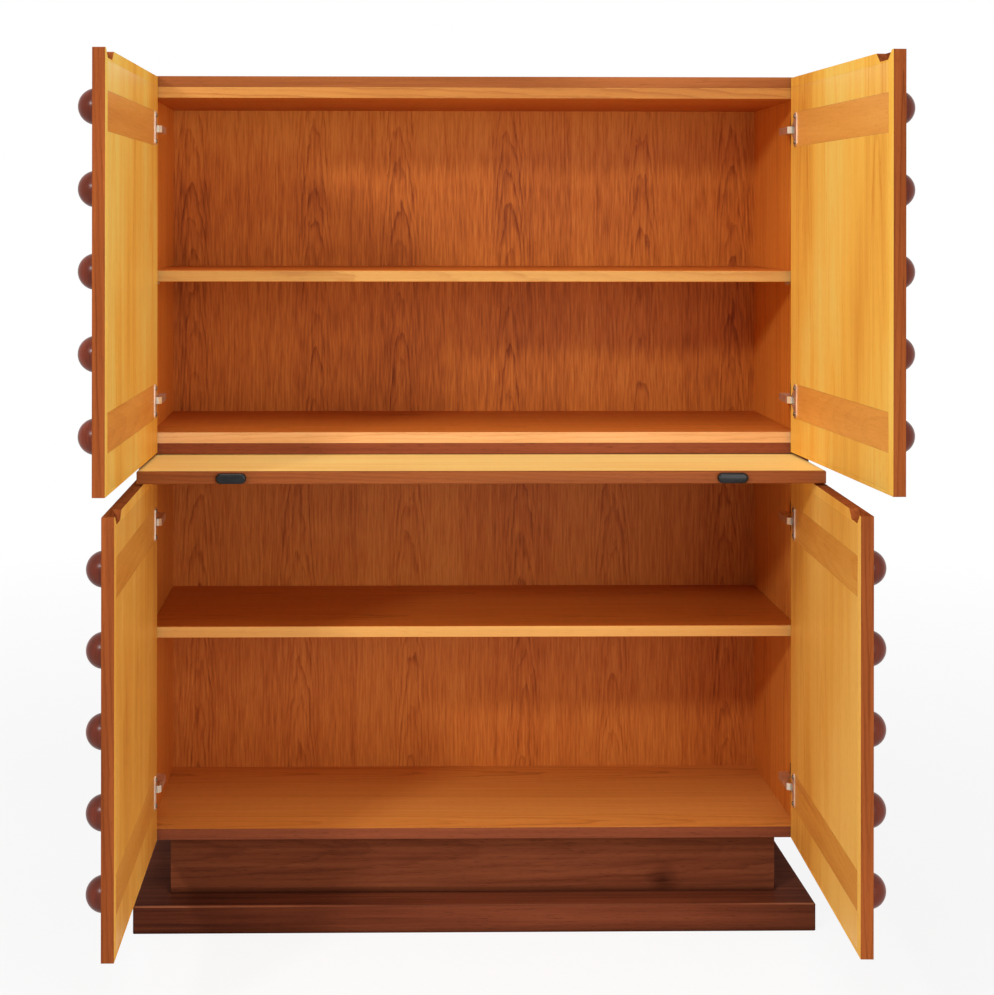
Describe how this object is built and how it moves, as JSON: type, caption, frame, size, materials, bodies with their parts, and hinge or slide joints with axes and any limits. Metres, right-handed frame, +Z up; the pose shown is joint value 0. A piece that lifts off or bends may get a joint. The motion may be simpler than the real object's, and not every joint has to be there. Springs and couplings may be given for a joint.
{
  "type": "drinks cabinet",
  "caption": "Free-standing drinks cabinet: stacked cupboards with swinging doors, columns of half-ball knobs, loose shelves, a pull-out serving board and a recessed plinth.",
  "frame": {"origin": "middle of the base board's underside, on the floor", "axes": "+X to the right seen from the front, the front faces -Y, +Z up"},
  "size_m": [1.2475, 0.9816, 1.4935],
  "materials": {
    "interior_veneer": "satin lacquer",
    "stained_wood": "satin stain",
    "knob_wood": "gloss lacquer",
    "peg_wood": "bare turned wood",
    "hinge_steel": "nickel plated",
    "pull_plastic": "black gloss"
  },
  "bodies": {
    "cabinet": {"base_board": "stained_wood", "hinge_arms": "hinge_steel", "hinge_plate_screws": "hinge_steel", "hinge_plates": "hinge_steel", "left_runner": "stained_wood", "lower_back_panel": "interior_veneer", "lower_bottom_board": "stained_wood", "lower_left_side": "stained_wood", "lower_right_side": "stained_wood", "lower_shelf": "interior_veneer", "lower_shelf_pegs": "peg_wood", "lower_top_board": "stained_wood", "plinth_neck_back": "stained_wood", "plinth_neck_front": "stained_wood", "plinth_neck_left": "stained_wood", "plinth_neck_right": "stained_wood", "rear_spacer": "stained_wood", "right_runner": "stained_wood", "stop_pins": "peg_wood", "upper_back_panel": "interior_veneer", "upper_bottom_board": "stained_wood", "upper_floor_liner": "interior_veneer", "upper_left_side": "stained_wood", "upper_right_side": "stained_wood", "upper_shelf": "interior_veneer", "upper_shelf_pegs": "peg_wood", "upper_top_board": "stained_wood", "upper_top_liner": "interior_veneer"},
    "serving_slide": {"serving_board": "interior_veneer", "serving_board_lipping": "stained_wood", "serving_board_pulls": "pull_plastic"},
    "lower_left_door": {"lower_left_door_battens": "interior_veneer", "lower_left_door_hinge_cups": "hinge_steel", "lower_left_door_hinge_pins": "hinge_steel", "lower_left_door_hinge_screws": "hinge_steel", "lower_left_door_knobs": "knob_wood", "lower_left_door_lipping": "stained_wood", "lower_left_door_panel": "interior_veneer"},
    "lower_right_door": {"lower_right_door_battens": "interior_veneer", "lower_right_door_hinge_cups": "hinge_steel", "lower_right_door_hinge_pins": "hinge_steel", "lower_right_door_hinge_screws": "hinge_steel", "lower_right_door_knobs": "knob_wood", "lower_right_door_lipping": "stained_wood", "lower_right_door_panel": "interior_veneer"},
    "upper_left_door": {"upper_left_door_battens": "interior_veneer", "upper_left_door_hinge_cups": "hinge_steel", "upper_left_door_hinge_pins": "hinge_steel", "upper_left_door_hinge_screws": "hinge_steel", "upper_left_door_knobs": "knob_wood", "upper_left_door_lipping": "stained_wood", "upper_left_door_panel": "interior_veneer"},
    "upper_right_door": {"upper_right_door_battens": "interior_veneer", "upper_right_door_hinge_cups": "hinge_steel", "upper_right_door_hinge_pins": "hinge_steel", "upper_right_door_hinge_screws": "hinge_steel", "upper_right_door_knobs": "knob_wood", "upper_right_door_lipping": "stained_wood", "upper_right_door_panel": "interior_veneer"}
  },
  "joints": [
    {"name": "lower_left_door_swing", "type": "hinge", "parent": "cabinet", "child": "lower_left_door", "pos_m": [-0.568, -0.2, 0.4805], "axis": [0, 0, -1], "range_deg": [-89.9, 15.1]},
    {"name": "lower_right_door_swing", "type": "hinge", "parent": "cabinet", "child": "lower_right_door", "pos_m": [0.568, -0.2, 0.4805], "axis": [0, 0, 1], "range_deg": [-88.1, 16.9]},
    {"name": "upper_left_door_swing", "type": "hinge", "parent": "cabinet", "child": "upper_left_door", "pos_m": [-0.568, -0.2, 1.163], "axis": [0, 0, -1], "range_deg": [-91.3, 13.7]},
    {"name": "upper_right_door_swing", "type": "hinge", "parent": "cabinet", "child": "upper_right_door", "pos_m": [0.568, -0.2, 1.163], "axis": [0, 0, 1], "range_deg": [-92.9, 12.1]},
    {"name": "serving_board_slide", "type": "slide", "parent": "cabinet", "child": "serving_slide", "axis": [0, -1, 0], "range_m": [-0.22, 0.05]}
  ]
}
